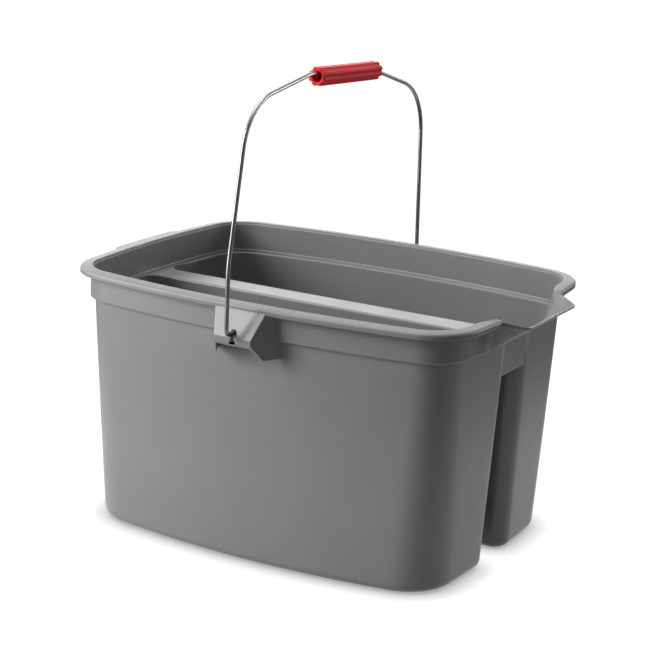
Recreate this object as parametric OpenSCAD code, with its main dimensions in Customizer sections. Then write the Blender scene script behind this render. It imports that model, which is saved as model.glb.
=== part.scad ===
// Divided double bucket with a wire bail and a loose grip. Millimetres, Z up.
// The pouring spout is at +X, the pull lip at -X, and the floor at Z = 0.
// The origin is the middle of the bucket's length and width, on the floor.

/* [Rim and collar] */
// Half length over the rim
rim_half_length = 215.7; // [190:250]
// Half width over the rim
rim_half_width = 166.2; // [145:195]
// How far the long sides bow out at the rim
rim_side_bow = 22.4; // [10:32]
// How far the ends bow out at the rim
rim_end_bow = 13.7; // [6:22]
// Corner radius of the rim
rim_corner_r = 52.5; // [42:62]
// Height of the rim's top
bucket_height = 254; // [225:290]
// Height of the turned-down rim skirt
rim_skirt = 6.8; // [5:9]
// Thickness of the rim skirt
rim_skirt_wall = 2.2; // [1.5:3]
// Width of the rounded top edge of the rim
rim_crown_width = 4.4; // [3:5]
// Height of the rounded top edge of the rim
rim_crown_height = 3.2; // [2:4.5]
// Width of the step inside the rim
rim_step = 0.8; // [0.5:1.2]
// Depth of the step inside the rim
rim_step_depth = 4.6; // [3.5:7]
// Bevel along the rim's inner edge
rim_edge = 1.2; // [0.6:1.4]
// How far the rim stands out from the collar
rim_overhang = 10.2; // [8:13]
// How far the collar stands out from the well walls
collar_step = 4.6; // [3:7]
// Depth from the rim's top to the foot of the step
collar_depth = 32.6; // [27:39]
// Plastic thickness of the walls
wall = 2.8; // [2.2:3.4]

/* [Wells] */
// How much each end wall leans in down to the floor
end_draft = 8.8; // [5:16]
// How much each long wall leans in down to the floor
side_draft = 4.8; // [3:12]
// How far the long sides bow out at the floor
foot_side_bow = 22.5; // [10:32]
// How far the ends bow out at the floor
foot_end_bow = 6.7; // [4:16]
// Outer corner radius at the floor
foot_corner_r = 51; // [36:60]
// Radius of the edge around the floor
foot_edge_r = 9.5; // [7:12]
// Half width of the channel between the wells, at its top
channel_top_half = 12.5; // [9:18]
// Half width of the channel between the wells, at the floor
channel_foot_half = 18.8; // [15:26]
// Corner radius beside the channel
channel_corner_r = 17; // [14:24]
// Thickness of the deck that joins the wells
deck_thick = 3; // [2.8:4]
// How far the deck's top lies above the foot of the step
deck_rise = 2.2; // [1.2:2.4]
// Width of the ledge around the mouth of each well
ledge = 2.4; // [1.2:2.6]
// Bevel along the divider's top edges
divider_bevel = 2.3; // [1:2.4]
// Depth of the web that closes each end of the channel
web_depth = 32.4; // [20:50]
// How far the web lies behind the end walls
web_recess = 3; // [2.2:6]

/* [Spout and pull lip] */
// How far the spout's lip stands out from the rim
spout_reach = 19.4; // [14:25]
// How far outside the deck's edge the spout's floor starts to rise
spout_start = 0.5; // [0.3:2]
// Half width of the spout at its lip
spout_lip_half = 52.5; // [42:60]
// Half width of the spout at the wall
spout_root_half = 75.5; // [62:82]
// How far the spout's lip lies below the rim's top
spout_lip_drop = 6.8; // [4:10]
// How far the spout's sides lie below the rim's top at the wall
spout_side_drop = 0.5; // [0.3:2]
// Plastic thickness of the spout
spout_wall = 2.4; // [2:3]
// How far the pull lip stands out from the rim
pull_reach = 4.8; // [3:12]
// Half width of the pull lip's outer edge
pull_half = 46.8; // [30:60]
// Bevel at each end of the pull lip
pull_bevel = 8; // [5:14]
// Thickness of the pull lip
pull_thick = 3; // [2:4]

/* [Ears] */
// How far the ears sit from the middle of the rim, towards the spout
ear_x = 2.2; // [-10:10]
// How far the ear's front lip stands out from the rim
ear_reach = 12.6; // [10:18]
// Half width of the ear at its front lip
ear_lip_half = 19.3; // [15:26]
// How much each cheek widens per millimetre towards the wall
ear_splay = 0.56; // [0.3:0.9]
// Drop from the rim's top to the ear's sloping top, at the rim
ear_top_drop = 5; // [3.5:6]
// How far the ear's sloping top starts outside the rim
ear_top_out = -0.2; // [-1:3]
// Drop from the rim's top to the top of the ear's lip
ear_lip_drop = 28.6; // [27:34]
// Height of the ear's front lip
ear_lip_height = 5.5; // [4:8]
// Drop from the rim's top to the bottom of the cheeks
ear_drop = 48.5; // [44:58]
// How far the cheek's bottom corner lies behind the lip
ear_corner_back = 12; // [6:14]
// Plastic thickness of the ear
ear_wall = 2.4; // [1.8:3]
// Drop from the rim's top to the pivot
pivot_drop = 24.6; // [22:26]
// Gap all round the wire's end in its pivot hole
pivot_gap = 0.7; // [0.3:0.8]
// Width of the narrow throat under the pivot hole
throat_width = 2.8; // [2:3.4]
// Width of the open mouth at the lip's bottom
mouth_width = 7; // [5:10]

/* [Bail] */
// Diameter of the bail wire
wire_d = 4; // [3.4:4.6]
// How much thicker the wire's ends are
pin_extra = 0.1; // [0.05:0.3]
// How far the legs stand outside the ears' lips
leg_stand_off = 6.7; // [6.6:12]
// Bend radius at the foot of each leg
leg_bend_r = 6; // [5:6.8]
// How far the bail sits towards the front in its ears
bail_play = 3; // [0:4]
// How far the front end of the wire reaches in behind the ear's lip
pin_reach = 6.5; // [5.5:7.5]
// Height of the front leg's bend above the pivot
kink_height = 62.2; // [50:90]
// Bend radius of the front leg
kink_r = 110; // [60:140]
// How far the front shoulder lies in from the leg
front_shoulder_in = 25.7; // [10:40]
// Height of the front shoulder above the pivot
front_shoulder_height = 203.4; // [190:208]
// Bend radius of the front shoulder
front_shoulder_r = 54.3; // [35:60]
// How far the back shoulder lies in from the leg
back_shoulder_in = 8.1; // [4:20]
// Height of the back shoulder above the pivot
back_shoulder_height = 181.7; // [165:190]
// Bend radius of the back shoulder
back_shoulder_r = 58.8; // [40:70]
// How far towards the front the straight wire under the grip reaches
crown_front = 53.2; // [45:65]
// Height of the wire above the pivot at the straight's front end
crown_front_height = 220; // [214:226]
// How far towards the back the straight wire under the grip reaches
crown_back = 60; // [50:70]
// Height of the wire above the pivot at the straight's back end
crown_back_height = 215.4; // [210:220]
// Bend radius at the straight's ends
crown_r = 24; // [15:30]

/* [Grip] */
// Length of the grip
grip_length = 114; // [95:125]
// Where the grip sits along the wire, from the middle towards the back
grip_shift = 14.9; // [0:20]
// Diameter over the grip's ribs
grip_d = 18.4; // [17:21]
// Height of the grip's ribs
grip_rib = 1.5; // [1:2]
// Radius of each rib's rounded back
grip_rib_r = 2.7; // [2.2:3.2]
// Number of ribs around the grip
grip_ribs = 8; // [6:10]
// How much wider the grip's bore is than the wire
bore_slack = 6.4; // [5:7.4]
// Gap between the wire and the top of the bore
grip_gap = 0.3; // [0.2:0.4]

/* [Hidden] */
$fn = 48;
grey = [0.45, 0.45, 0.45];
silver = [0.75, 0.75, 0.76];
red = [0.78, 0.12, 0.15];

// Facets along the curves
side_steps = 6;
corner_steps = 6;
end_steps = 3;
edge_steps = 4;
crown_steps = 4;
wire_sides = 12;
bend_steps = 6;

// How far cuts run past a face, and blocks run into each other
over = 1;

// Levels
step_z = bucket_height - collar_depth;
deck_z = step_z + deck_rise;
deck_low_z = deck_z - deck_thick;
pivot_z = bucket_height - pivot_drop;
ear_lip_z = bucket_height - ear_lip_drop;
ear_low_z = bucket_height - ear_drop;

// Insets from the rim's outermost outline
well_in = rim_overhang + collar_step;
collar_inner = rim_overhang + wall;
deck_in = well_in + wall - ledge;

// The rim's middle lies off the origin, because the spout reaches further than the pull lip
rim_mid_x = (pull_reach - spout_reach) / 2;
module placed() translate([rim_mid_x, 0, 0]) children();

// Outlines are [half length, half width, side radius, end radius, corner radius]
function bow_r(half, bow) = (half * half + bow * bow) / (2 * bow);
function bowed(a, b, side_bow, end_bow, r) = [a, b, bow_r(a, side_bow), bow_r(b, end_bow), r];
function grow(o, d) = [for (v = o) v + d];
function mix(a, b, t) = a + (b - a) * t;

rim_o = bowed(rim_half_length, rim_half_width, rim_side_bow, rim_end_bow, rim_corner_r);
well_top_o = grow(rim_o, -well_in);
well_foot_o = bowed(well_top_o[0] - end_draft, well_top_o[1] - side_draft, foot_side_bow, foot_end_bow,
    foot_corner_r);
function well_o(z) = mix(well_foot_o, well_top_o, z / step_z);
function channel_half(z) = mix(channel_foot_half, channel_top_half, z / step_z);

// Centre of the corner circle in the first quadrant, touching a long side and an end
function corner_c(o) =
    let (p = o[0] - o[3], q = o[1] - o[2], r1 = o[2] - o[4], r2 = o[3] - o[4], d = norm([p, q]),
        a = (r1 * r1 - r2 * r2 + d * d) / (2 * d), h = sqrt(r1 * r1 - a * a))
    [(a * p - h * q) / d, q - (a * q + h * p) / d];
// Centre of the corner beside the channel, touching an end and the channel wall at y = -g
function channel_c(o, g, rg) =
    [o[0] - o[3] + sqrt(pow(o[3] - rg, 2) - pow(g + rg, 2)), -g - rg];
function angle_of(v) = atan2(v[1], v[0]);
function arc(c, r, from, to, n) =
    [for (i = [0:n - 1]) let (t = mix(from, to, i / n)) c + r * [cos(t), sin(t)]];
function flip(pts, sx, sy) = [for (p = pts) [sx * p[0], sy * p[1]]];
function reversed(pts) = [for (i = [len(pts) - 1:-1:0]) pts[i]];
function less_last(pts) = [for (i = [0:len(pts) - 2]) pts[i]];

// The whole outline, anticlockwise from the middle of the +X end
function quarter(o) =
    let (c = corner_c(o), ce = [o[0] - o[3], 0], cl = [0, o[1] - o[2]],
        te = angle_of(c - ce), tl = angle_of(c - cl))
    concat(arc(ce, o[3], 0, te, end_steps), arc(c, o[4], te, tl, corner_steps),
        arc(cl, o[2], tl, 90, side_steps), [[0, o[1]]]);
function full_outline(o) =
    let (q = quarter(o))
    concat(less_last(q), less_last(reversed(flip(q, -1, 1))), less_last(flip(q, -1, -1)),
        less_last(reversed(flip(q, 1, -1))));

// The front well's outline, anticlockwise from the middle of the long side
function well_outline(o, g, rg) =
    let (c = corner_c(o), ce = [o[0] - o[3], 0], cl = [0, o[2] - o[1]],
        cc = [c[0], -c[1]], cg = channel_c(o, g, rg),
        a1 = angle_of(cc - cl), b1 = angle_of(cc - ce), b2 = angle_of(cg - ce),
        half = concat(arc(cl, o[2], -90, a1, side_steps), arc(cc, o[4], a1, b1, corner_steps),
            arc(ce, o[3], b1, b2, end_steps), arc(cg, rg, b2, 90, corner_steps), [cg + [0, rg]]))
    concat(half, less_last(reversed(flip(half, -1, 1))));

function at_height(pts, z) = [for (p = pts) [p[0], p[1], z]];

// A closed solid through rings that all have the same number of points
module loft(rings) {
    n = len(rings[0]);
    last = len(rings) - 1;
    sides = [for (i = [0:last - 1], j = [0:n - 1], k = [0:1])
        let (a = i * n + j, b = i * n + (j + 1) % n, c = b + n, d = a + n)
        k == 0 ? [a, d, c] : [a, c, b]];
    polyhedron([for (r = rings, p = r) p],
        concat(sides, [[for (j = [0:n - 1]) j]], [[for (j = [n - 1:-1:0]) last * n + j]]));
}

// Rim, collar and deck as one filled block, as [offset, height] up the outside
collar_profile = concat([
    [deck_low_z - step_z - well_in, deck_low_z],
    [-rim_overhang, step_z + collar_step],
    [-rim_overhang, bucket_height - wall],
    [-rim_skirt_wall, bucket_height - wall],
    [-rim_skirt_wall, bucket_height - rim_skirt],
    [0, bucket_height - rim_skirt],
], [for (k = [0:crown_steps]) let (t = 90 * k / crown_steps)
    [rim_crown_width * (cos(t) - 1), bucket_height - rim_crown_height * (1 - sin(t))]]);
// The space inside rim and collar, up past the rim
collar_space = [
    [-deck_in, deck_z],
    [-collar_inner, deck_z + deck_in - collar_inner],
    [-collar_inner, bucket_height - rim_step_depth],
    [rim_step - collar_inner, bucket_height - rim_step_depth],
    [rim_step - collar_inner, bucket_height - rim_edge],
    [rim_step - collar_inner + rim_edge + over, bucket_height + over],
];
module swept(profile) loft([for (s = profile) at_height(full_outline(grow(rim_o, s[0])), s[1])]);

// One well, from the rounded floor edge up into the collar, and the space inside it
function edge_rings(r, d, z0) = [for (k = [0:edge_steps]) let (t = 90 * k / edge_steps)
    well_ring(z0 + r * (1 - cos(t)), d - r * (1 - sin(t)), 0)];
function well_ring(z, d, extra) =
    at_height(well_outline(grow(well_o(z), d), channel_half(z) - d - extra, channel_corner_r + d + extra), z);
module well_block() loft(concat(edge_rings(foot_edge_r, 0, 0), [well_ring(step_z + over, 0, 0)]));
module well_space() loft(concat(edge_rings(foot_edge_r - wall, -wall, wall), [
    well_ring(deck_z - divider_bevel, -wall, 0),
    well_ring(deck_z, -wall, divider_bevel),
    well_ring(deck_z + over, -wall, divider_bevel),
]));

// Webs that close the top of the channel at both ends, as wide as the gap between the round corners
module channel_webs() {
    web_x = well_top_o[0] - web_recess;
    low_z = step_z - web_depth;
    g = channel_half(low_z);
    corner = channel_c(well_o(low_z), g, channel_corner_r);
    web_half = -corner[1] - sqrt(max(0, pow(channel_corner_r, 2) - pow(web_x - corner[0], 2))) + wall / 2;
    for (side = [-1, 1])
        translate([side * (web_x - wall / 2), 0, step_z - web_depth / 2])
            cube([wall, 2 * web_half, web_depth], center = true);
}

// The spout's trough, filled, and the space that is cut from it
spout_x = rim_half_length + spout_reach;
spout_root_x = rim_half_length - deck_in + spout_start;
spout_z = bucket_height - spout_lip_drop;
function along_spout(root, lip, x) = mix(root, lip, (x - spout_root_x) / (spout_x - spout_root_x));
module trough(x0, x1, inset, top0, top1, low) {
    y = [for (x = [x0, x1]) along_spout(spout_root_half, spout_lip_half, x) - inset];
    z = [for (x = [x0, x1]) along_spout(deck_z, spout_z, x) - low];
    polyhedron(
        [[x0, -y[0], z[0]], [x1, -y[1], z[1]], [x1, y[1], z[1]], [x0, y[0], z[0]],
            [x0, -y[0], top0], [x1, -y[1], top1], [x1, y[1], top1], [x0, y[0], top0]],
        [[0, 1, 2, 3], [4, 7, 6, 5], [0, 4, 5, 1], [1, 5, 6, 2], [2, 6, 7, 3], [3, 7, 4, 0]]);
}
module spout_block()
    trough(spout_root_x - 2 * wall, spout_x, 0, bucket_height - spout_side_drop, spout_z, spout_wall);
module spout_space() intersection() {
    trough(spout_root_x - 2 * wall, spout_x + over, spout_wall,
        bucket_height + over, bucket_height + over, 0);
    translate([0, -spout_root_half - wall, deck_z])
        cube([spout_x + 2 * over, 2 * (spout_root_half + wall), collar_depth + over]);
}

// Flat lip at the other end, flush with the rim's top
module pull_lip() {
    edge_x = -rim_half_length - pull_reach;
    inner_x = -rim_half_length + collar_inner;
    root_half = pull_half + pull_bevel;
    translate([0, 0, bucket_height - pull_thick])
        linear_extrude(pull_thick)
            polygon([[inner_x, -root_half], [inner_x, root_half], [edge_x + pull_bevel, root_half],
                [edge_x, pull_half], [edge_x, -pull_half], [edge_x + pull_bevel, -root_half]]);
}

// Hood on the front long side that carries the pivot. Side views are [distance from the middle, height].
ear_lip_y = rim_half_width + ear_reach;
ear_root_y = rim_half_width - well_in - wall;
module hood(side_view, lip_y, lip_half) {
    root_half = lip_half + ear_splay * (lip_y - ear_root_y);
    intersection() {
        translate([-root_half, 0, 0])
            rotate([90, 0, 90])
                linear_extrude(2 * root_half)
                    polygon(flip(side_view, -1, 1));
        linear_extrude(bucket_height)
            polygon([[-root_half, -ear_root_y], [-lip_half, -lip_y],
                [lip_half, -lip_y], [root_half, -ear_root_y]]);
    }
}
module ear_outside() {
    top_z = bucket_height - ear_top_drop;
    hood([[ear_root_y, top_z], [rim_half_width + ear_top_out, top_z], [ear_lip_y, ear_lip_z],
        [ear_lip_y, ear_lip_z - ear_lip_height], [ear_lip_y - ear_corner_back, ear_low_z],
        [ear_root_y, ear_low_z]],
        ear_lip_y, ear_lip_half);
}
module ear_inside() {
    top_z = bucket_height - ear_top_drop - ear_wall;
    lip_y = ear_lip_y - ear_wall;
    cheek_wall = ear_wall * norm([1, ear_splay]);
    hood([[ear_root_y, top_z], [rim_half_width + ear_top_out - ear_wall, top_z], [lip_y, ear_lip_z],
        [lip_y, ear_low_z - over], [ear_root_y, ear_low_z - over]],
        lip_y, ear_lip_half + ear_splay * ear_wall - cheek_wall);
}
pin_d = wire_d + pin_extra;
module keyhole() {
    neck_z = ear_lip_z - pivot_z;
    mouth_z = neck_z - ear_lip_height - over;
    translate([0, -rim_half_width, pivot_z])
        rotate([90, 0, 0]) {
            cylinder(h = ear_reach + over, d = pin_d + 2 * pivot_gap);
            linear_extrude(ear_reach + over)
                polygon([[-throat_width / 2, 0], [throat_width / 2, 0], [throat_width / 2, neck_z],
                    [mouth_width / 2, mouth_z], [-mouth_width / 2, mouth_z], [-throat_width / 2, neck_z]]);
        }
}
module ear() translate([ear_x, 0, 0]) difference() {
    ear_outside();
    ear_inside();
    keyhole();
}

module bucket() color(grey) placed() difference() {
    union() {
        swept(collar_profile);
        channel_webs();
        spout_block();
        pull_lip();
        for (side = [0, 1])
            mirror([0, side, 0]) {
                well_block();
                ear();
            }
    }
    swept(collar_space);
    spout_space();
    for (side = [0, 1])
        mirror([0, side, 0])
            well_space();
}

// Wire path in the plane of the legs: corners as [y, height above the pivot], each with a bend radius
leg_y = ear_lip_y + leg_stand_off;
crown_slope = (crown_back_height - crown_front_height) / (crown_front + crown_back);
pin_from = leg_y - leg_bend_r - over;
pin_to = ear_lip_y - pin_reach - bail_play;
wire_end = [pin_from - over, 0];
wire_corners = [
    [-leg_y, 0],
    [-leg_y, kink_height],
    [-leg_y + front_shoulder_in, front_shoulder_height],
    [-crown_front, crown_front_height],
    [crown_back, crown_back_height],
    [leg_y - back_shoulder_in, back_shoulder_height],
    [leg_y, 0],
];
wire_radii = [leg_bend_r, kink_r, front_shoulder_r, crown_r, crown_r, back_shoulder_r, leg_bend_r];

// Stations round the bend at b, each as [place, direction]
function unit(v) = v / norm(v);
function turned(v, a) = [v[0] * cos(a) - v[1] * sin(a), v[0] * sin(a) + v[1] * cos(a)];
function bend(a, b, c, r) =
    let (u = unit(b - a), v = unit(c - b), turn = atan2(cross(u, v), u * v),
        start = b - u * r * tan(abs(turn) / 2), centre = start + sign(turn) * r * turned(u, 90))
    [for (k = [0:bend_steps]) let (t = turn * k / bend_steps)
        [centre + turned(start - centre, t), turned(u, t)]];
wire_route = concat([-wire_end], wire_corners, [wire_end]);
wire_stations = concat([[-wire_end, [-1, 0]]],
    [for (i = [0:len(wire_corners) - 1])
        each bend(wire_route[i], wire_route[i + 1], wire_route[i + 2], wire_radii[i])],
    [[wire_end, [-1, 0]]]);

module bail_wire() color(silver) placed() translate([ear_x, -bail_play, pivot_z]) {
    loft([for (s = wire_stations) let (side = turned(s[1], 90)) [for (k = [0:wire_sides - 1])
        let (t = 360 * k / wire_sides, out = s[0] + wire_d / 2 * cos(t) * side)
        [wire_d / 2 * sin(t), out[0], out[1]]]]);
    for (side = [-1, 1])
        translate([0, side * pin_from, 0])
            rotate([side * 90, 0, 0])
                cylinder(h = pin_from - pin_to, d = pin_d);
}

// Ribbed tube that hangs on the wire by the top of its bore
module grip_section() difference() {
    union() {
        circle(d = grip_d - 2 * grip_rib);
        for (k = [0:grip_ribs - 1])
            rotate(360 * (k + 0.5) / grip_ribs)
                translate([grip_d / 2 - grip_rib_r, 0])
                    circle(r = grip_rib_r);
    }
    circle(d = wire_d + bore_slack);
}
grip_wire_z = pivot_z + crown_front_height + crown_slope * (grip_shift + crown_front);
module grip() color(red) placed()
    translate([ear_x, grip_shift - bail_play, grip_wire_z])
        rotate([atan(crown_slope) - 90, 0, 0])
            translate([0, bore_slack / 2 - grip_gap, 0])
                linear_extrude(grip_length, center = true)
                    grip_section();

bucket();
bail_wire();
grip();
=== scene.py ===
"""Divided double bucket with a wire bail and a loose ribbed grip, dressed for rendering.

Sizes repeat the model's named values in millimetres, measured from the middle of the rim.
"""

import math

import bmesh
import bpy
import numpy as np
from mathutils import Matrix, Vector

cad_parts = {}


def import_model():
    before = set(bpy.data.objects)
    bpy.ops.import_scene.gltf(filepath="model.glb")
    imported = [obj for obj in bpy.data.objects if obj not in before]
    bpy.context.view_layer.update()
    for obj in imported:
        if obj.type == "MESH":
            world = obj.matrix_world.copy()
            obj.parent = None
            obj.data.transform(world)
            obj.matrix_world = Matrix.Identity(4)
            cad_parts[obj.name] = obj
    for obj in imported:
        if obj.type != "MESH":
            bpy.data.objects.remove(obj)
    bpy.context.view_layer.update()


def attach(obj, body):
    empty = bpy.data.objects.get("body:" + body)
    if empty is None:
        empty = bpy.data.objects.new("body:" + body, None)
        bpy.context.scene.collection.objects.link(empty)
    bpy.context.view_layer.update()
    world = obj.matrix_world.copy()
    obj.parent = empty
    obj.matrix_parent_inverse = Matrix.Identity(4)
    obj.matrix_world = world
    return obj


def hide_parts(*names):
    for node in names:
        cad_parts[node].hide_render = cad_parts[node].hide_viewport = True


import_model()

MM = 0.001

# Rim and collar
RIM_MID_X = -7.3
RIM_HALF_LENGTH = 215.7
RIM_HALF_WIDTH = 166.2
RIM_SIDE_BOW = 22.4
RIM_END_BOW = 13.7
RIM_CORNER_R = 52.5
RIM_TOP = 254.0
SKIRT_LOW_Z = 247.2
SKIRT_WALL = 2.2
COLLAR_IN = 10.2
STEP_Z = 221.4
WALL = 2.8

# Wells, and the deck and channel between them
WELL_IN = 14.8
END_DRAFT = 8.8
SIDE_DRAFT = 4.8
FOOT_SIDE_BOW = 22.5
FOOT_END_BOW = 6.7
FOOT_CORNER_R = 51.0
FOOT_EDGE_R = 9.5
CHANNEL_TOP = 12.5
CHANNEL_FOOT = 18.8
CHANNEL_R = 17.0
DECK_Z = 222.8
DECK_LOW_Z = 220.6
DECK_IN = 15.9
DIVIDER_BEVEL = 2.3
MOUTH_DROP = 1.8
MOUTH_EASE_STATIONS = 8
WEB_DEPTH = 32.4
WEB_RECESS = 1.2
WEB_SINK = 0.7
WEB_EASE = 0.4

# Spout and pull lip
SPOUT_X = 235.1
SPOUT_Z = 247.2
SPOUT_LIP_HALF = 48.5
SPOUT_ROOT_HALF = 69.2
SPOUT_WALL = 2.4
SPOUT_EASE = 0.28
FLARE = 5.2
FLARE_FROM = 88.0
FLARE_TO = 68.0
PULL_REACH = 4.8
PULL_HALF = 46.8
PULL_BEVEL = 8.0

# Ears
EAR_X = 2.2
EAR_LIP_Y = 178.8
EAR_LIP_HALF = 19.3
EAR_SPLAY = 0.56
EAR_TOP_Y = 166.0
EAR_TOP_Z = 249.0
EAR_LIP_Z = 225.4
EAR_LIP_HEIGHT = 5.5
EAR_LOW_Z = 205.5
EAR_CORNER_BACK = 12.0
EAR_COLLAR_Y = 154.6
EAR_WALL_Y = 149.9
EAR_SPACE_Y = 145.0
EAR_WALL = 2.4
EAR_EASE = 0.55
PIVOT_Z = 229.4
PIVOT_R = 2.75
PIVOT_STEPS = 25
THROAT_HALF = 1.4
MOUTH_HALF = 3.5
KEYHOLE_FROM = 166.0
KEYHOLE_TO = 182.0
CUT_OVER = 1.0

# Easing of cut pieces, and the loop inside each of their flats
EASE_SEGMENTS = 3
EASE_ANGLE = math.radians(25)
FLAT_AREA = 20.0
FLAT_INSET = 0.5

# Bail
WIRE_R = 2.0
WIRE_SIDES = 20
BEND_STEPS = 14
PIN_R = 2.05
PIN_TO = 169.3
PIN_ROUND = 0.8
PIN_STEPS = 5
BAIL_PLAY = 3.0
LEG_Y = 185.5
LEG_BEND_R = 6.0
KINK_HEIGHT = 62.2
KINK_R = 110.0
FRONT_SHOULDER = (25.7, 203.4)
FRONT_SHOULDER_R = 54.3
BACK_SHOULDER = (8.1, 181.7)
BACK_SHOULDER_R = 58.8
CROWN_FRONT = (-53.2, 220.0)
CROWN_BACK = (60.0, 215.4)
CROWN_R = 24.0

# Grip
GRIP_LENGTH = 114.0
GRIP_SHIFT = 14.9
GRIP_HANG = 2.9
GRIP_R = 9.2
GRIP_CORE_R = 7.7
GRIP_RIB_R = 2.7
GRIP_RIBS = 8
GRIP_RIB_STEPS = 18
GRIP_BLEND = 0.25
GRIP_EASE = 1.0
GRIP_EASE_STEPS = 5
GRIP_BORE_R = 5.2
GRIP_BORE_EASE = 0.4


def bow_r(half, bow):
    """Radius of an arc that bows out by bow over a half chord."""
    return (half * half + bow * bow) / (2 * bow)


def bowed(length, width, side_bow, end_bow, corner_r):
    """An outline: half length, half width, side radius, end radius and corner radius."""
    return np.array([length, width, bow_r(length, side_bow), bow_r(width, end_bow), corner_r])


RIM = bowed(RIM_HALF_LENGTH, RIM_HALF_WIDTH, RIM_SIDE_BOW, RIM_END_BOW, RIM_CORNER_R)
WELL_TOP = RIM - WELL_IN
WELL_FOOT = bowed(
    WELL_TOP[0] - END_DRAFT, WELL_TOP[1] - SIDE_DRAFT, FOOT_SIDE_BOW, FOOT_END_BOW, FOOT_CORNER_R)


# In these functions o is an outline, g half the channel's width, and rg the radius of the arc beside it
def corner_centre(o):
    """Centre of the corner arc in the first quadrant."""
    p, q = o[0] - o[3], o[1] - o[2]
    r1, r2 = o[2] - o[4], o[3] - o[4]
    d = math.hypot(p, q)
    a = (r1 * r1 - r2 * r2 + d * d) / (2 * d)
    h = math.sqrt(r1 * r1 - a * a)
    return np.array([(a * p - h * q) / d, q - (a * q + h * p) / d])


def channel_centre(o, g, rg):
    """Centre of the arc beside the channel, in the fourth quadrant."""
    return np.array([o[0] - o[3] + math.sqrt((o[3] - rg) ** 2 - (g + rg) ** 2), -g - rg])


def arc(centre, radius, start, end, fractions):
    """Points on an arc, and the directions out of it."""
    t = start + (end - start) * np.asarray(fractions)
    out = np.column_stack([np.cos(t), np.sin(t)])
    return centre + radius * out, out


def arcs_of(o, g, rg):
    """Centres and angles of the arcs of one quarter, from the long side to the channel."""
    c = corner_centre(o) * (1, -1)
    side = np.array([0, o[2] - o[1]])
    end = np.array([o[0] - o[3], 0])
    channel = channel_centre(o, g, rg)
    a1 = math.atan2(*(c - side)[::-1])
    b1 = math.atan2(*(c - end)[::-1])
    b2 = math.atan2(*(channel - end)[::-1])
    return side, c, end, channel, a1, b1, b2


# Stations along the arcs. On an end they go by distance from its middle, closest at the spout's cheeks.
SIDE_STEPS = 22
CORNER_STEPS = 16
CHANNEL_STEPS = 12
GAP_STEPS = 10
FLARE_STEP = 2.5
CHEEK_STEP = 1.4
END_Y = (
    97, 92, *np.arange(88.5, 75, -FLARE_STEP), 74, 72, 70.5,
    *np.arange(SPOUT_ROOT_HALF, SPOUT_LIP_HALF - CHEEK_STEP / 2, -CHEEK_STEP), 46, 43, 38, 33.5,
)
END_MARGIN = 0.02
CHANNEL_END_T = (0.14, 0.29, 0.47, 0.645, 0.82)

RIM_CHANNEL = (CHANNEL_TOP - WELL_IN, CHANNEL_R + WELL_IN)
RIM_END_FROM, RIM_END_TO = arcs_of(RIM, *RIM_CHANNEL)[-2:]
END_T = [0.0]
for end_y in END_Y:
    end_t = (math.asin(-end_y / RIM[3]) - RIM_END_FROM) / (RIM_END_TO - RIM_END_FROM)
    if END_MARGIN < end_t < 1 - END_MARGIN:
        END_T.append(end_t)
SIDE_T = np.linspace(0, 1, SIDE_STEPS, endpoint=False)
CORNER_T = np.linspace(0, 1, CORNER_STEPS, endpoint=False)
CHANNEL_T = np.linspace(0, 1, CHANNEL_STEPS)

# Numbers of stations: up to the channel, round the rim, and round one well
OUTER = SIDE_STEPS + CORNER_STEPS + len(END_T)
RING = 4 * (OUTER + 1 + len(CHANNEL_END_T))
WELL = 2 * (OUTER + CHANNEL_STEPS + GAP_STEPS - 1)
OUTER_STATIONS = range(-OUTER, OUTER + 1)
GAP_STATIONS = range(OUTER, WELL - OUTER + 1)


def outer_quarter(o, g, rg):
    """Points and directions from the middle of the front long side to the corner of the channel."""
    side, c, end, _, a1, b1, b2 = arcs_of(o, g, rg)
    runs = [
        arc(side, o[2], -math.pi / 2, a1, SIDE_T),
        arc(c, o[4], a1, b1, CORNER_T),
        arc(end, o[3], b1, b2, END_T),
    ]
    return np.vstack([r[0] for r in runs]), np.vstack([r[1] for r in runs])


def full_ring(o, g, rg):
    """Points and directions right round, anticlockwise from the middle of the front long side."""
    points, out = outer_quarter(o, g, rg)
    _, _, end, _, _, _, b2 = arcs_of(o, g, rg)
    more = arc(end, o[3], b2, 0, (0.0, *CHANNEL_END_T))
    middle = arc(end, o[3], 0, 0, [0.0])
    quarter = [np.vstack([points, more[0], middle[0]]), np.vstack([out, more[1], middle[1]])]
    rings = []
    for q in quarter:
        back = (q * (1, -1))[::-1]
        right = np.vstack([q, back[1:]])
        left = (right * (-1, 1))[::-1]
        rings.append(np.vstack([right, left[1:-1]]))
    return rings


def well_ring(o, g, rg):
    """Points round the front well, anticlockwise from the middle of the long side."""
    points, _ = outer_quarter(o, g, rg)
    _, _, _, channel, _, _, b2 = arcs_of(o, g, rg)
    beside_channel, _ = arc(channel, rg, b2, math.pi / 2, CHANNEL_T)
    across = np.linspace(beside_channel[-1][0], 0, GAP_STEPS + 1)[1:]
    gap = np.column_stack([across, np.full(GAP_STEPS, -g)])
    half = np.vstack([points, beside_channel, gap])
    mirrored = (half * (-1, 1))[::-1]
    return np.vstack([half, mirrored[1:-1]])


def at_height(points, z):
    """Flat points lifted to one height."""
    return np.column_stack([points, np.full(len(points), z)])


def well_shape(z):
    """The wells' outer outline and half the channel's width at one height."""
    t = z / STEP_Z
    return WELL_FOOT + (WELL_TOP - WELL_FOOT) * t, CHANNEL_FOOT + (CHANNEL_TOP - CHANNEL_FOOT) * t


def well_at(z, d=0.0, extra=0.0):
    """A ring of the front well at one height, grown by d, and by extra more on the channel side."""
    o, g = well_shape(z)
    return at_height(well_ring(o + d, g - d - extra, CHANNEL_R + d + extra), z)


CORNER_EASE_STEPS = 4


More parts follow.
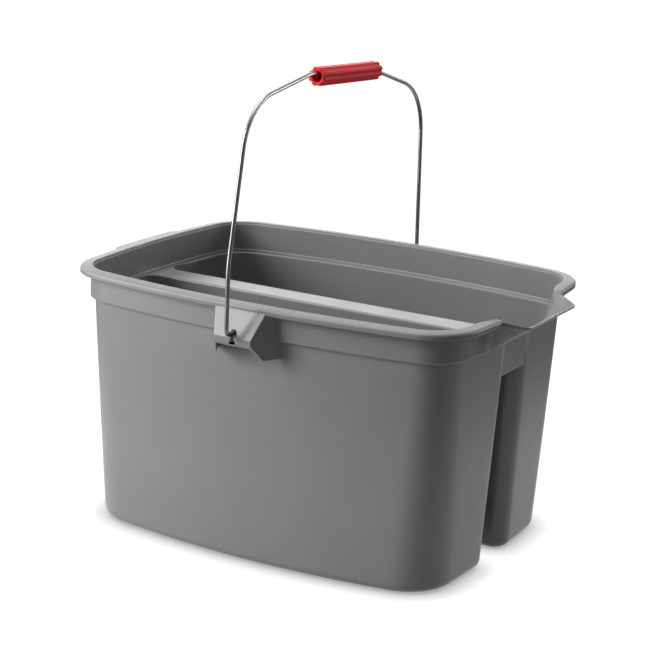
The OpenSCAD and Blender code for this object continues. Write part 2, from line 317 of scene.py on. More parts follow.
def rounded(corners):
    """A polyline with eased corners, each given as x, y and the lengths taken up before and after it."""
    pts = []
    last = len(corners) - 1
    for i, (x, y, before, after) in enumerate(corners):
        v = np.array([x, y])
        if i in (0, last):
            pts.append(v)
            continue
        u = np.array(corners[i - 1][:2]) - v
        w = np.array(corners[i + 1][:2]) - v
        start = u / np.linalg.norm(u) * before
        end = w / np.linalg.norm(w) * after
        for k in range(CORNER_EASE_STEPS + 1):
            t = math.pi / 2 * k / CORNER_EASE_STEPS
            pts.append(v + start * (1 - math.sin(t)) + end * (1 - math.cos(t)))
    return np.array(pts)


def row_of(corner, step):
    """The row that a step of an eased corner makes."""
    return 1 + (corner - 1) * (CORNER_EASE_STEPS + 1) + step


# The rim's profile as offset, height and easing, from the wall under the step, over the rim, to the ledge
UNDER_STEP = (-14.82, 220.8, 0, 0)
RIM_PROFILE = rounded([
    UNDER_STEP,
    # Step out to the collar, and up the collar
    (-WELL_IN, 222.0, 0.6, 0.8),
    (-COLLAR_IN, 223.1, 0.9, 0.9),
    (-COLLAR_IN, RIM_TOP - WALL, 0.8, 0.8),
    # Skirt and rolled outer edge
    (-SKIRT_WALL, RIM_TOP - WALL, 0.5, 0.5),
    (-SKIRT_WALL, SKIRT_LOW_Z, 0.4, 0.4),
    (0.0, SKIRT_LOW_Z, 0.7, 0.7),
    (0.0, 249.6, 0.1, 0.1),
    (0.0, 250.0, 0.1, 0.1),
    (0.0, 252.8, 2.2, 2.6),
    # Inner edge of the rim
    (-11.2, RIM_TOP, 0.5, 0.5),
    (-12.1, 253.3, 0.4, 0.4),
    (-12.1, 252.2, 0.3, 0.3),
    (-13.0, 251.2, 0.3, 0.3),
    # Small step and steep face down to the ledge
    (-14.2, 225.0, 0.3, 0.2),
    (-14.8, 224.6, 0.2, 0.3),
    (-15.2, 221.9, 0.3, 0.2),
    (-15.5, 221.7, 0, 0),
])
PULL_FROM = row_of(8, 2)
PULL_TO = row_of(9, CORNER_EASE_STEPS)

# The same number of corners through the middle of the spout, along the lines of its underside and its inside
SPOUT_REACH = SPOUT_X - RIM_HALF_LENGTH
UNDER = ((-WELL_IN, STEP_Z), (SPOUT_REACH, SPOUT_Z - SPOUT_WALL))
INSIDE = ((SPOUT_REACH, SPOUT_Z), (-DECK_IN, DECK_Z))


def along(line, t, ease):
    """A corner on a straight line."""
    x = line[0][0] + (line[1][0] - line[0][0]) * t
    z = line[0][1] + (line[1][1] - line[0][1]) * t
    return (x, z, ease, ease)


SPOUT_PROFILE = rounded([
    UNDER_STEP,
    along(UNDER, 0, 0.4),
    along(UNDER, 0.25, 0.5),
    along(UNDER, 0.6, 0.5),
    along(UNDER, 0.72, 0.5),
    along(UNDER, 0.84, 0.5),
    along(UNDER, 1, 0.8),
    # Edge of the lip
    (SPOUT_REACH, SPOUT_Z - 1.5, 0.1, 0.1),
    (SPOUT_REACH, SPOUT_Z - 1.2, 0.1, 0.1),
    (SPOUT_REACH, SPOUT_Z, 0.8, 1.0),
    along(INSIDE, 0.16, 0.5),
    along(INSIDE, 0.22, 0.5),
    along(INSIDE, 0.36, 0.5),
    along(INSIDE, 0.44, 0.5),
    along(INSIDE, 0.82, 0.8),
    along(INSIDE, 0.9, 0.5),
    along(INSIDE, 0.96, 0.5),
    along(INSIDE, 1, 0),
])


def eased(t, ramp):
    """From 0 to 1, straight in the middle and easing in and out over the ramps."""
    t = np.clip(t, 0, 1)
    top = 1 / (1 - ramp)
    first = top * t * t / (2 * ramp)
    last = 1 - top * (1 - t) ** 2 / (2 * ramp)
    middle = top * (t - ramp / 2)
    return np.where(t < ramp, first, np.where(t > 1 - ramp, last, middle))


# The least that a direction points along x, where the distance to the spout's lip is found
LEAST_ALONG_X = 0.5


def rim_rows():
    """The rows of points right round the rim, with the spout and the pull lip drawn out of it."""
    base, out = full_ring(RIM, *RIM_CHANNEL)
    y = np.abs(base[:, 1])
    spout_end = base[:, 0] > 0
    pull_end = base[:, 0] < 0
    spout = eased((SPOUT_ROOT_HALF - y) / (SPOUT_ROOT_HALF - SPOUT_LIP_HALF), SPOUT_EASE) * spout_end
    flare = eased((FLARE_FROM - y) / (FLARE_FROM - FLARE_TO), SPOUT_EASE) * FLARE * spout_end
    pull = np.clip((PULL_HALF + PULL_BEVEL - y) / PULL_BEVEL, 0, 1) * PULL_REACH * pull_end
    reach = (SPOUT_X - base[:, 0]) / out[:, 0].clip(LEAST_ALONG_X)
    rows = []
    for i, (normal, drawn) in enumerate(zip(RIM_PROFILE, SPOUT_PROFILE)):
        offset = np.full(RING, normal[0])
        if PULL_FROM <= i <= PULL_TO:
            offset = offset + pull
        if normal[0] < -COLLAR_IN / 2:
            offset = offset + flare * max(0.0, (normal[1] - DECK_Z) / (RIM_TOP - DECK_Z))
        far = np.full(RING, drawn[0])
        if drawn[0] > -WELL_IN:
            share = (drawn[0] + WELL_IN) / (SPOUT_REACH + WELL_IN)
            far = share * (reach + WELL_IN) - WELL_IN
        offset = offset + (far - offset) * spout
        height = normal[1] + (drawn[1] - normal[1]) * spout
        rows.append(np.column_stack([base + out * offset[:, None], height]))
    return rows


class Shell:
    """Points and faces of one closed skin."""

    def __init__(self):
        self.points = []
        self.faces = []

    def add(self, pts):
        """New points; gives their numbers."""
        start = len(self.points)
        self.points.extend(np.asarray(pts, float).tolist())
        return list(range(start, len(self.points)))

    def strip(self, a, b):
        """Faces between two closed rows."""
        n = len(a)
        for i in range(n):
            j = (i + 1) % n
            self.faces.append([a[i], a[j], b[j], b[i]])

    def loft(self, rows):
        """Faces between each closed row and the next."""
        for a, b in zip(rows[:-1], rows[1:]):
            self.strip(a, b)

    def closed(self, rows):
        """A solid through rows, with a face over each end."""
        self.loft(rows)
        self.faces += [rows[0], rows[-1]]

    def mesh(self, name):
        """The skin as a mesh in metres, from the middle of the whole object."""
        bm = bmesh.new()
        verts = [bm.verts.new(((p[0] + RIM_MID_X) * MM, p[1] * MM, p[2] * MM)) for p in self.points]
        for f in self.faces:
            bm.faces.new([verts[i] for i in f])
        bmesh.ops.recalc_face_normals(bm, faces=bm.faces)
        mesh = bpy.data.meshes.new(name)
        bm.to_mesh(mesh)
        bm.free()
        return mesh


# The front well as drawn and the back well mirrored, and the levels of their rows
SIDES = (np.array([1, 1, 1]), np.array([1, -1, 1]))
WALL_LEVELS = (190, 150, 105, 60, 30)
FOOT_STEPS = 9
INNER_FOOT_STEPS = 8
BEVEL_STEPS = 5


def falling(steps):
    """Angles from a right angle down to 0."""
    return np.linspace(math.pi / 2, 0, steps)


def beside(j, well):
    """Station of the rim beside station j of a well, counted from the middle of its long side."""
    return j % RING if well == 0 else (RING // 2 - j) % RING


def outsides(shell, first):
    """The outsides of both wells under a shared ring; gives each well's top ring."""
    levels = [(z, 0.0) for z in WALL_LEVELS]
    levels += [(FOOT_EDGE_R * (1 - math.cos(t)), -FOOT_EDGE_R * (1 - math.sin(t)))
               for t in falling(FOOT_STEPS)]
    tops = []
    for well, side in enumerate(SIDES):
        shared = {j % WELL: first[beside(j, well)] for j in OUTER_STATIONS}
        top = well_at(DECK_LOW_Z) * side
        rows = [[shared[j] if j in shared else shell.add([top[j]])[0] for j in range(WELL)]]
        rows += [shell.add(well_at(z, d) * side) for z, d in levels]
        shell.loft(rows)
        shell.faces.append(rows[-1])
        tops.append(rows[0])
    return tops


def insides(shell):
    """The insides of both wells, lower round the outside of their mouths; gives each well's mouth."""
    edge_r = FOOT_EDGE_R - WALL
    levels = [(DECK_Z - DIVIDER_BEVEL * (1 - math.sin(t)), -WALL, DIVIDER_BEVEL * (1 - math.cos(t)))
              for t in falling(BEVEL_STEPS)]
    levels += [(z, -WALL, 0.0) for z in WALL_LEVELS]
    levels += [(WALL + edge_r * (1 - math.cos(t)), -WALL - edge_r * (1 - math.sin(t)), 0.0)
               for t in falling(INNER_FOOT_STEPS)]
    stations = np.arange(WELL)
    from_channel = OUTER - np.minimum(stations, WELL - stations)
    lowered = MOUTH_DROP * eased(from_channel / MOUTH_EASE_STATIONS, SPOUT_EASE)
    mouths = []
    for side in SIDES:
        rows = []
        for z, d, extra in levels:
            points = well_at(z, d, extra) * side
            points[:, 2] -= lowered * max(0.0, 1 - (DECK_Z - z) / DIVIDER_BEVEL)
            rows.append(shell.add(points))
        shell.loft(rows)
        shell.faces.append(rows[-1])
        mouths.append(rows[0])
    return mouths


def across_channel(shell, front, back):
    """Faces from one well to the other across the channel."""
    for a, b in zip(GAP_STATIONS[:-1], GAP_STATIONS[1:]):
        shell.faces.append([front[a], front[b], back[b], back[a]])


def bucket_skin():
    """The moulding without its webs and ears: rim, deck and both wells as one closed skin."""
    shell = Shell()
    half = RING // 2
    right_end = slice(OUTER, half - OUTER + 1)
    left_end = slice(half + OUTER, RING - OUTER + 1)

    # The ring under the collar, the outsides of the wells and the underside of the deck
    o, g = well_shape(DECK_LOW_Z)
    under, _ = full_ring(o, g, CHANNEL_R)
    first = shell.add(at_height(under, DECK_LOW_Z))
    across_channel(shell, *outsides(shell, first))
    shell.faces += [first[right_end], first[left_end]]

    # Rim and collar
    rows = [first] + [shell.add(row) for row in rim_rows()]
    shell.loft(rows)
    inner = rows[-1]

    # The insides of the wells, the ledges round their mouths and the top of the deck
    front, back = insides(shell)
    for well, mouth in enumerate((front, back)):
        for j in OUTER_STATIONS[:-1]:
            shell.faces.append([inner[beside(j, well)], inner[beside(j + 1, well)],
                                mouth[(j + 1) % WELL], mouth[j % WELL]])
    across_channel(shell, front, back)
    shell.faces.append([front[OUTER]] + inner[right_end] + [back[OUTER]])
    shell.faces.append([back[WELL - OUTER]] + inner[left_end] + [front[WELL - OUTER]])
    return shell.mesh("bucket_skin")


def carved(mesh, cutters, bevel):
    """A mesh with others cut from it and its edges eased. A loop in each flat keeps the painted edge
    highlight near its edges.
    """
    made = []
    for data in [mesh] + cutters:
        made.append(bpy.data.objects.new(data.name, data))
        bpy.context.scene.collection.objects.link(made[-1])
    for cutter in made[1:]:
        cut = made[0].modifiers.new("cut", "BOOLEAN")
        cut.operation = "DIFFERENCE"
        cut.solver = "EXACT"
        cut.object = cutter
    ease = made[0].modifiers.new("ease", "BEVEL")
    ease.width = bevel * MM
    ease.segments = EASE_SEGMENTS
    ease.limit_method = "ANGLE"
    ease.angle_limit = EASE_ANGLE
    graph = bpy.context.evaluated_depsgraph_get()
    result = bpy.data.meshes.new_from_object(made[0].evaluated_get(graph))
    for obj in made:
        bpy.data.objects.remove(obj)
    bm = bmesh.new()
    bm.from_mesh(result)
    flats = [f for f in bm.faces if f.calc_area() > FLAT_AREA * MM * MM]
    bmesh.ops.inset_individual(bm, faces=flats, thickness=FLAT_INSET * MM, use_even_offset=True)
    bm.to_mesh(result)
    bm.free()
    return result


def web_skin(side):
    """One web across an end of the channel, let into the walls and the deck."""
    shell = Shell()
    rows = []
    for depth in (0, WALL):
        row = []
        for z in (STEP_Z - WEB_DEPTH, DECK_LOW_Z + WEB_SINK):
            o, g = well_shape(z)
            x = o[0] - WEB_RECESS
            centre = channel_centre(o, g, CHANNEL_R)
            half = -centre[1] - math.sqrt(CHANNEL_R ** 2 - (x - centre[0]) ** 2) + WALL / 2
            ends = [(side * (x - depth), y, z) for y in (-half, half)]
            row += ends if z < DECK_LOW_Z else ends[::-1]
        rows.append(shell.add(row))
    shell.closed(rows)
    return carved(shell.mesh("web"), [], WEB_EASE)


def hood(side_view, lip_y, lip_half):
    """A prism on the front side: a side view whose width grows from the lip towards the wall."""
    shell = Shell()
    rows = []
    for side in (-1, 1):
        rows.append(shell.add([
            (EAR_X + side * (lip_half + EAR_SPLAY * (lip_y - y)), -y, z) for y, z in side_view]))
    shell.closed(rows)
    return shell.mesh("hood")


def keyhole():
    """The pivot hole, its throat and the open mouth under it, as one cutter."""
    neck = math.acos(THROAT_HALF / PIVOT_R)
    turns = np.linspace(-neck, math.pi + neck, PIVOT_STEPS)
    neck_z = EAR_LIP_Z - PIVOT_Z
    mouth_z = neck_z - EAR_LIP_HEIGHT - CUT_OVER
    outline = [(PIVOT_R * math.cos(t), PIVOT_R * math.sin(t)) for t in turns]
    outline += [
        (-THROAT_HALF, neck_z),
        (-MOUTH_HALF, mouth_z),
        (MOUTH_HALF, mouth_z),
        (THROAT_HALF, neck_z),
    ]
    shell = Shell()
    rows = []
    for y in (KEYHOLE_FROM, KEYHOLE_TO):
        rows.append(shell.add([(EAR_X + x, -y, PIVOT_Z + z) for x, z in outline]))
    shell.closed(rows)
    return shell.mesh("keyhole")


def ear_skin():
    """The front ear: a sloping hood open below, with the keyhole in its front."""
    outside = [
        (EAR_COLLAR_Y, EAR_TOP_Z),
        (EAR_TOP_Y, EAR_TOP_Z),
        (EAR_LIP_Y, EAR_LIP_Z),
        (EAR_LIP_Y, EAR_LIP_Z - EAR_LIP_HEIGHT),
        (EAR_LIP_Y - EAR_CORNER_BACK, EAR_LOW_Z),
        (EAR_WALL_Y, EAR_LOW_Z),
        (EAR_WALL_Y, STEP_Z - WALL / 2),
        (EAR_COLLAR_Y, STEP_Z + WELL_IN - COLLAR_IN),
    ]
    top_z = EAR_TOP_Z - EAR_WALL
    low_z = EAR_LOW_Z - CUT_OVER
    lip_y = EAR_LIP_Y - EAR_WALL
    inside = [
        (EAR_SPACE_Y, top_z),
        (EAR_TOP_Y - EAR_WALL, top_z),
        (lip_y, EAR_LIP_Z),
        (lip_y, low_z),
        (EAR_SPACE_Y, low_z),
    ]
    cheek = EAR_WALL * math.hypot(1, EAR_SPLAY)
    space = hood(inside, lip_y, EAR_LIP_HALF + EAR_SPLAY * EAR_WALL - cheek)
    return carved(hood(outside, EAR_LIP_Y, EAR_LIP_HALF), [space, keyhole()], EAR_EASE)


def mirrored_y(mesh):
    """The same mesh on the other long side."""
    other = mesh.copy()
    other.transform(Matrix.Diagonal((1, -1, 1, 1)))
    other.flip_normals()
    return other


def bend(a, b, c, r):
    """Stations round the bend at b, each as place and direction."""
    u = (b - a) / np.linalg.norm(b - a)
    v = (c - b) / np.linalg.norm(c - b)
    turn = math.atan2(u[0] * v[1] - u[1] * v[0], u @ v)
    start = b - u * r * math.tan(abs(turn) / 2)
    side = math.copysign(1, turn)
    centre = start + side * r * np.array([-u[1], u[0]])
    found = []
    for k in range(BEND_STEPS + 1):
        t = turn * k / BEND_STEPS
        spin = np.array([[math.cos(t), -math.sin(t)], [math.sin(t), math.cos(t)]])
        found.append((centre + spin @ (start - centre), spin @ u))
    return found


def bail_skin():
    """The bent wire, with its ends turned in through the ears."""
    corners = [
        (-LEG_Y, 0),
        (-LEG_Y, KINK_HEIGHT),
        (-LEG_Y + FRONT_SHOULDER[0], FRONT_SHOULDER[1]),
        CROWN_FRONT,
        CROWN_BACK,
        (LEG_Y - BACK_SHOULDER[0], BACK_SHOULDER[1]),
        (LEG_Y, 0),
    ]
    radii = [LEG_BEND_R, KINK_R, FRONT_SHOULDER_R, CROWN_R, CROWN_R, BACK_SHOULDER_R, LEG_BEND_R]
    route = [np.array(p, float) for p in [(-PIN_TO, 0)] + corners + [(PIN_TO, 0)]]
    forward = np.array([-1.0, 0.0])
    ends = []
    for tip, into in ((route[0], forward), (route[-1], -forward)):
        end = []
        for t in falling(PIN_STEPS):
            place = tip + into * PIN_ROUND * (1 - math.cos(t))
            end.append((place, forward, PIN_R - PIN_ROUND * (1 - math.sin(t))))
        ends.append(end)
    stations = ends[0][::-1]
    for i, r in enumerate(radii):
        stations += [(place, direction, WIRE_R) for place, direction in bend(*route[i:i + 3], r)]
    stations += ends[1]
    shell = Shell()
    turns = np.linspace(0, 2 * math.pi, WIRE_SIDES, endpoint=False)
    rows = []
    for place, direction, r in stations:
        side = np.array([-direction[1], direction[0]])
        ring = [(EAR_X + r * math.sin(t), place[0] + r * math.cos(t) * side[0] - BAIL_PLAY,
                 PIVOT_Z + place[1] + r * math.cos(t) * side[1]) for t in turns]
        rows.append(shell.add(ring))
    shell.closed(rows)
    return shell.mesh("bail")


def grip_skin():
    """The ribbed tube that hangs on the wire."""
    slope = (CROWN_BACK[1] - CROWN_FRONT[1]) / (CROWN_BACK[0] - CROWN_FRONT[0])
    lean = math.atan(slope)
    axis = np.array([0, math.cos(lean), math.sin(lean)])
    down = np.array([0, math.sin(lean), -math.cos(lean)])
    across = np.array([1.0, 0.0, 0.0])
    wire_z = PIVOT_Z + CROWN_FRONT[1] + slope * (GRIP_SHIFT - CROWN_FRONT[0])
    middle = np.array([EAR_X, GRIP_SHIFT - BAIL_PLAY, wire_z]) + GRIP_HANG * down

    # Radius right round: the ribs' backs, blended into the core
    turns = np.linspace(0, 2 * math.pi, GRIP_RIBS * GRIP_RIB_STEPS, endpoint=False)
    pitch = 2 * math.pi / GRIP_RIBS
    off = (turns % pitch) - pitch / 2
    reach = GRIP_R - GRIP_RIB_R
    rib = reach * np.cos(off) + np.sqrt(np.maximum(GRIP_RIB_R ** 2 - (reach * np.sin(off)) ** 2, 0))
    outer = (rib + GRIP_CORE_R + np.sqrt((rib - GRIP_CORE_R) ** 2 + GRIP_BLEND ** 2)) / 2
    outer = np.minimum(outer, GRIP_R)
    bore = np.full(len(turns), GRIP_BORE_R)

    # Radius and place along the grip, over the outside and back through the bore
    half = GRIP_LENGTH / 2
    end = [(outer - GRIP_EASE * (1 - math.sin(t)), half - GRIP_EASE * (1 - math.cos(t)))
           for t in falling(GRIP_EASE_STEPS)]
    profile = [(r, -x) for r, x in end[::-1]] + end
    profile += [
        (bore + GRIP_BORE_EASE, half),
        (bore, half - GRIP_BORE_EASE),
        (bore, GRIP_BORE_EASE - half),
        (bore + GRIP_BORE_EASE, -half),
    ]
    shell = Shell()
    rings = []
    for r, x in profile:
        sideways = (r * np.cos(turns))[:, None] * across
        downwards = (r * np.sin(turns))[:, None] * down
        rings.append(shell.add(middle + x * axis + sideways + downwards))
    shell.loft(rings + rings[:1])
    return shell.mesh("ribbed_grip")


class Look:
    """A procedural material, built node by node."""

    def __init__(self, name):
        self.material = bpy.data.materials.new(name)
        self.material.use_nodes = True
        self.tree = self.material.node_tree
        self.shader = self.tree.nodes["Principled BSDF"]
        self.place = self.node("ShaderNodeTexCoord").outputs["Object"]
        self.normal = None

    def node(self, kind, **values):
        """A new node with some of its settings."""
        made = self.tree.nodes.new(kind)
        for key, value in values.items():
            setattr(made, key, value)
        return made

    def link(self, source, target):
        """A link from an output to an input."""
        self.tree.links.new(source, target)

    def maths(self, operation, first, second):
        """Two values put together."""
        made = self.node("ShaderNodeMath", operation=operation)
        self.link(first, made.inputs[0])
        self.link(second, made.inputs[1])
        return made.outputs[0]

    def noise(self, scale, detail, stretch=None):
        """A noise value between 0 and 1, in object space, stretched if asked."""
        made = self.node("ShaderNodeTexNoise")
        made.inputs["Scale"].default_value = scale
        made.inputs["Detail"].default_value = detail
        place = self.place
        if stretch:
            mapping = self.node("ShaderNodeMapping")
            mapping.inputs["Scale"].default_value = stretch
            self.link(place, mapping.inputs["Vector"])
            place = mapping.outputs["Vector"]
        self.link(place, made.inputs["Vector"])
        return made.outputs["Fac"]

    def height(self):
        """The height above the floor at rest, in metres."""
        made = self.node("ShaderNodeSeparateXYZ")
        self.link(self.place, made.inputs[0])
        return made.outputs["Z"]

    def edges(self, start, end):
        """A value that rises on the mesh's convex edges."""
        geometry = self.node("ShaderNodeNewGeometry")
        return self.between(geometry.outputs["Pointiness"], 0.0, 1.0, start, end)

    def between(self, value, low, high, start=0.3, end=0.7):
        """A value carried from start and end to low and high."""
        made = self.node("ShaderNodeMapRange")
        made.inputs["From Min"].default_value = start
        made.inputs["From Max"].default_value = end
        made.inputs["To Min"].default_value = low
        made.inputs["To Max"].default_value = high
        self.link(value, made.inputs["Value"])
        return made.outputs["Result"]

    def mixed(self, factor, first, second):
        """Two colours mixed by a factor; each is a colour or another node's output."""
        made = self.node("ShaderNodeMix", data_type="RGBA")
        for name, colour in (("A", first), ("B", second)):
            socket = [s for s in made.inputs if s.name == name and s.type == "RGBA"][0]
            if isinstance(colour, tuple):
                socket.default_value = (*colour, 1.0)
            else:
                self.link(colour, socket)
        self.link(factor, made.inputs["Factor"])
        return [s for s in made.outputs if s.type == "RGBA"][0]

    def colour(self, source):
        """The surface's colour from another node."""
        self.link(source, self.shader.inputs["Base Color"])

    def roughness(self, source):
        """The surface's roughness from another node."""
        self.link(source, self.shader.inputs["Roughness"])

    def bump(self, height, strength, depth):
        """One more layer of bump on those before it, with its depth in millimetres."""
        made = self.node("ShaderNodeBump")
        made.inputs["Strength"].default_value = strength
        made.inputs["Distance"].default_value = depth * MM
        self.link(height, made.inputs["Height"])
        if self.normal:
            self.link(self.normal, made.inputs["Normal"])
        self.normal = made.outputs["Normal"]
        self.link(self.normal, self.shader.inputs["Normal"])

    def set(self, **values):
        """Plain values of the surface."""
        for key, value in values.items():
            self.shader.inputs[key.replace("_", " ")].default_value = value

    def matt(self, tone):
        """A plain grey surface without shine."""
        made = self.node("ShaderNodeBsdfDiffuse")
        made.inputs["Color"].default_value = (tone, tone, tone, 1)
        return made.outputs[0]

    def glow(self, kind, strength):
        """White light of one kind; its strength is a number or another node's output."""
        made = self.node(kind)
        made.inputs["Color"].default_value = (1, 1, 1, 1)
        if isinstance(strength, float):
            made.inputs["Strength"].default_value = strength
        else:
            self.link(strength, made.inputs["Strength"])
        return made.outputs[0]

    def rays(self, *kinds):
        """1 for rays of the named kinds, 0 for the rest."""
        path = self.node("ShaderNodeLightPath")
        found = path.outputs[kinds[0]]
        for kind in kinds[1:]:
            found = self.maths("MAXIMUM", found, path.outputs[kind])
        return found

    def choose(self, factor, off, on):
        """One shader where the factor is 0, and another where it is 1."""
        made = self.node("ShaderNodeMixShader")
        for source, target in zip((factor, off, on), made.inputs):
            self.link(source, target)
        return made.outputs[0]


# Colours, painted highlights on edges, painted shade on the wire's turned ends, and where the rim top is
# rubbed
GREY_DARK = (0.232, 0.23, 0.232)
GREY_LIGHT = (0.258, 0.256, 0.257)
GREY_FLECK = (0.29, 0.288, 0.288)
GREY_EDGE_HIGHLIGHT = (0.48, 0.478, 0.476)
RUBBED = 0.14
RUBBED_DEPTH = 4.5
RUBBED_FULL = 3.0
WIRE_DULL = (0.3, 0.3, 0.305)
WIRE_BRIGHT = (0.4, 0.4, 0.405)
WIRE_PAINTED_SHADE = (0.03, 0.03, 0.03)
PAINTED_SHADE_REACH = 5.0
RED_DARK = (0.8, 0.028, 0.038)
RED_LIGHT = (0.88, 0.036, 0.046)
RED_EDGE_HIGHLIGHT = (0.88, 0.12, 0.12)
PLASTIC_IOR = 1.5


def grey_plastic():
    """Satin moulded polyethylene: faint cloudiness, fine grain, painted highlights on its edges, and a rubbed
    rim top.
    """
    look = Look("grey_plastic")
    clouds = look.between(look.noise(scale=9, detail=3), low=0, high=1)
    flecks = look.between(look.noise(scale=420, detail=2), low=0.0, high=0.2)
    body = look.mixed(flecks, look.mixed(clouds, GREY_DARK, GREY_LIGHT), GREY_FLECK)
    # Convex edges get a paler colour by pointiness: a painted highlight, standing in for edges catching the
    # light.
    look.colour(look.mixed(look.edges(start=0.525, end=0.59), body, GREY_EDGE_HIGHLIGHT))
    satin = look.between(look.noise(scale=40, detail=2), low=0.29, high=0.34)
    rubbed = look.between(look.height(), 0.0, RUBBED,
                          start=(RIM_TOP - RUBBED_DEPTH) * MM, end=(RIM_TOP - RUBBED_FULL) * MM)
    look.roughness(look.maths("ADD", satin, rubbed))
    look.bump(look.noise(scale=7, detail=1), strength=0.25, depth=1.2)
    look.bump(look.noise(scale=1500, detail=2), strength=0.04, depth=0.1)
    look.set(IOR=PLASTIC_IOR, Specular_IOR_Level=0.5)
    return look.material


def plated_wire():
    """Plated drawn wire: fine streaks along it, duller patches, and painted shade where its ends turn in."""
    look = Look("plated_wire")
    streaks = look.noise(scale=240, detail=3, stretch=(1, 1, 0.06))
    patches = look.between(look.noise(scale=45, detail=3), low=0, high=1)
    # Painted shade: the wire goes near black below the pivots and fades back over a few millimetres above
    # them, where its ends sit in the ears' shade.
    painted_shade = look.between(look.height(), 1.0, 0.0, start=PIVOT_Z * MM, end=(PIVOT_Z + PAINTED_SHADE_REACH) * MM)
    look.colour(look.mixed(painted_shade, look.mixed(patches, WIRE_DULL, WIRE_BRIGHT), WIRE_PAINTED_SHADE))
    look.roughness(look.between(streaks, low=0.28, high=0.36))
    look.bump(streaks, strength=0.05, depth=0.03)
    look.set(Metallic=1.0)
    return look.material


def red_plastic():
    """Moulded plastic: slight colour variation, grip marks, and painted highlights along the rib backs."""
    look = Look("red_plastic")
    clouds = look.between(look.noise(scale=30, detail=2), low=0, high=1)
    body = look.mixed(clouds, RED_DARK, RED_LIGHT)
    # Rib backs and other convex edges get a paler red by pointiness: a painted highlight.
    look.colour(look.mixed(look.edges(start=0.53, end=0.64), body, RED_EDGE_HIGHLIGHT))
    look.roughness(look.between(look.noise(scale=60, detail=2), low=0.28, high=0.36))
    look.bump(look.noise(scale=90, detail=1), strength=0.04, depth=0.05)
    look.set(IOR=PLASTIC_IOR, Specular_IOR_Level=0.08)
    return look.material


def joined(name, meshes):
    """One object from several meshes."""
    bm = bmesh.new()
    for mesh in meshes:
        bm.from_mesh(mesh)
    mesh = bpy.data.meshes.new(name)
    bm.to_mesh(mesh)
    bm.free()
    obj = bpy.data.objects.new(name, mesh)
    bpy.context.scene.collection.objects.link(obj)
    return obj


def dressed(obj, node, body, material):
    """A piece in place of its CAD node, riding on its body."""
    obj.data.materials.clear()
    obj.data.materials.append(material)
    for polygon in obj.data.polygons:
        polygon.use_smooth = True
    weighted = obj.modifiers.new("even_shading", "WEIGHTED_NORMAL")
    weighted.keep_sharp = True
    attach(obj, body)
    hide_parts(node)


ear = ear_skin()
bucket = joined("bucket_moulding", [bucket_skin(), web_skin(1), web_skin(-1), ear, mirrored_y(ear)])
dressed(bucket, "bucket", "bucket", grey_plastic())
bail = joined("bent_wire", [bail_skin()])
dressed(bail, "bail_wire", "bail", plated_wire())
grip = joined("ribbed_grip", [grip_skin()])
dressed(grip, "grip", "grip", red_plastic())


# Surroundings, in metres and strengths of light
FLOOR_HALF = 6.0
FLOOR_Z = -0.0004
FLOOR_COLOUR = 0.12
FLOOR_BOUNCE = 0.35
CONTACT_REACH = 0.022
CONTACT_SAMPLES = 8
CONTACT_DARK = 0.4
CONTACT_FROM = 0.25
FADE_NEAR = 0.4
FADE_FAR = 0.8
REFLECTED_NEAR = 0.8
REFLECTED_DARK = 0.1
REFLECTED_BRIGHT = 0.6
DARK_SIDE = (0.48, -0.86, 0.1)
DARK_FROM = 0.25
DARK_TO = 0.75
BACKDROP = (-0.48, 0.87, 0.1)
BACKDROP_FROM = 0.9
BACKDROP_TO = 0.98
BACKDROP_MORE = 2.5
WORLD_STRENGTH = 0.09
WHITE = 1.0


def floor():
    """A white floor with a painted contact shadow under the object and faint real shadows, and dark further
    out in reflections.
    """
    bm = bmesh.new()
    corners = [(-1, -1), (1, -1), (1, 1), (-1, 1)]
    bm.faces.new([bm.verts.new((x * FLOOR_HALF, y * FLOOR_HALF, FLOOR_Z)) for x, y in corners])
    mesh = bpy.data.meshes.new("floor")
    bm.to_mesh(mesh)
    bm.free()
    obj = bpy.data.objects.new("floor", mesh)
    bpy.context.scene.collection.objects.link(obj)
    look = Look("floor")
    look.tree.nodes.remove(look.shader)
    # Painted contact shadow: the floor's glow is darkened by ambient occlusion close to the object; only the
    # faint matt part keeps real shadows.
    hidden = look.node("ShaderNodeAmbientOcclusion", samples=CONTACT_SAMPLES)
    hidden.inputs["Distance"].default_value = CONTACT_REACH
    painted_contact_shadow = look.between(hidden.outputs["AO"], CONTACT_DARK, WHITE, start=CONTACT_FROM, end=1.0)
    seen = look.node("ShaderNodeAddShader")
    look.link(look.matt(FLOOR_COLOUR), seen.inputs[0])
    look.link(look.glow("ShaderNodeEmission", painted_contact_shadow), seen.inputs[1])
    far = look.node("ShaderNodeVectorMath", operation="LENGTH")
    look.link(look.place, far.inputs[0])
    fading = look.between(far.outputs["Value"], REFLECTED_NEAR, REFLECTED_DARK, start=FADE_NEAR, end=FADE_FAR)
    mirrored = look.glow("ShaderNodeEmission", fading)
    unseen = look.choose(look.rays("Is Glossy Ray"), look.matt(FLOOR_BOUNCE), mirrored)
    shown = look.choose(look.rays("Is Camera Ray", "Is Transmission Ray"), unseen, seen.outputs[0])
    look.link(shown, look.tree.nodes["Material Output"].inputs["Surface"])
    mesh.materials.append(look.material)


class Sky(Look):
    """The world's nodes, with the same helpers."""

    def __init__(self):
        studio = bpy.data.worlds.new("studio")
        studio.use_nodes = True
        self.tree = studio.node_tree
        self.tree.nodes.remove(self.tree.nodes["Background"])
        bpy.context.scene.world = studio

    def towards(self, side):
        """1 where a ray points straight to a side, 0 across it."""
        made = self.node("ShaderNodeVectorMath", operation="DOT_PRODUCT")
        made.inputs[1].default_value = side
        self.link(self.node("ShaderNodeTexCoord").outputs["Generated"], made.inputs[0])
        return made.outputs["Value"]


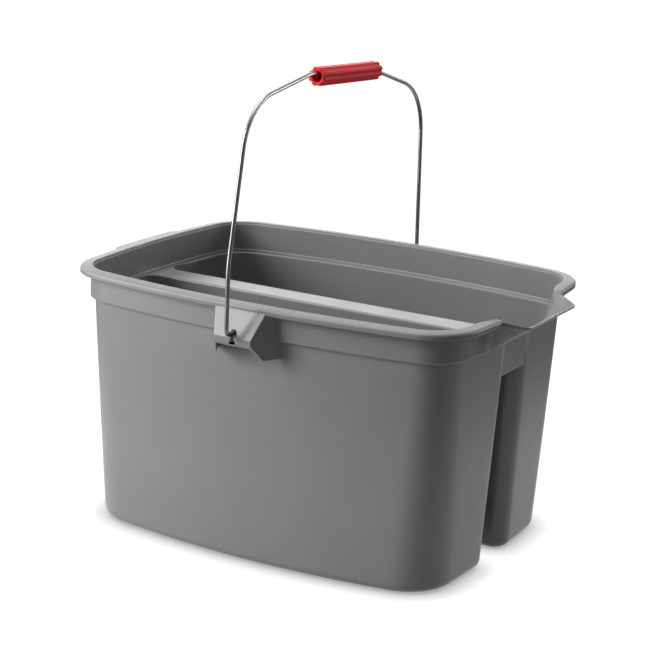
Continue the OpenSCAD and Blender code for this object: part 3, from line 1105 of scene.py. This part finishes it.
def world():
    """White where it is seen, a soft light on the object, and in reflections a room with a dark front."""
    sky = Sky()
    soft = sky.glow("ShaderNodeBackground", WORLD_STRENGTH)
    dark = sky.towards(DARK_SIDE)
    behind = sky.towards(BACKDROP)
    sides = sky.between(dark, REFLECTED_BRIGHT, REFLECTED_DARK, start=DARK_FROM, end=DARK_TO)
    backdrop = sky.between(behind, 0.0, BACKDROP_MORE, start=BACKDROP_FROM, end=BACKDROP_TO)
    room = sky.glow("ShaderNodeBackground", sky.maths("ADD", sides, backdrop))
    unseen = sky.choose(sky.rays("Is Glossy Ray"), soft, room)
    seen = sky.glow("ShaderNodeBackground", WHITE)
    shown = sky.choose(sky.rays("Is Camera Ray", "Is Transmission Ray"), unseen, seen)
    sky.link(shown, sky.tree.nodes["World Output"].inputs["Surface"])


def lamp(name, place, target, size, watts):
    """A soft square lamp that looks at a target."""
    data = bpy.data.lights.new(name, "AREA")
    data.shape = "SQUARE"
    data.size = size
    data.energy = watts
    obj = bpy.data.objects.new(name, data)
    obj.location = place
    obj.rotation_euler = (Vector(target) - Vector(place)).to_track_quat("-Z", "Y").to_euler()
    bpy.context.scene.collection.objects.link(obj)


# Camera at the photograph's viewing angle
AZIMUTH = math.radians(28.896)
ELEVATION = math.radians(15.167)
ROLL = math.radians(2.54)
DISTANCE = 1.8639
TARGET = Vector((-0.005918, 0.0, 0.195559))
LENS = 104.695
SENSOR = 36.0
CLIP_START = 0.05


def camera():
    """The camera, leaning by its roll about the line of sight."""
    flat = math.cos(ELEVATION)
    back = Vector((math.sin(AZIMUTH) * flat, -math.cos(AZIMUTH) * flat, math.sin(ELEVATION)))
    level = Vector((math.cos(AZIMUTH), math.sin(AZIMUTH), 0))
    up = back.cross(level)
    right = math.cos(ROLL) * level + math.sin(ROLL) * up
    top = math.cos(ROLL) * up - math.sin(ROLL) * level
    data = bpy.data.cameras.new("camera")
    data.lens = LENS
    data.sensor_width = SENSOR
    data.clip_start = CLIP_START
    obj = bpy.data.objects.new("camera", data)
    turn = Matrix((right, top, back)).transposed().to_4x4()
    obj.matrix_world = Matrix.Translation(TARGET + DISTANCE * back) @ turn
    bpy.context.scene.collection.objects.link(obj)
    bpy.context.scene.camera = obj


floor()
world()
lamp("overhead", place=(-0.45, 0.1, 2.3), target=(0, 0, 0.2), size=1.4, watts=29)
lamp("key", place=(-1.6, -1.6, 1.3), target=(0, 0, 0.15), size=0.9, watts=38)
lamp("near", place=(-0.75, -0.7, 0.3), target=(-0.1, -0.15, 0.13), size=0.5, watts=4.4)
lamp("behind", place=(1.5, 1.8, 0.7), target=(0, 0, 0.15), size=0.8, watts=13)
camera()
bpy.context.scene.view_settings.view_transform = "Standard"
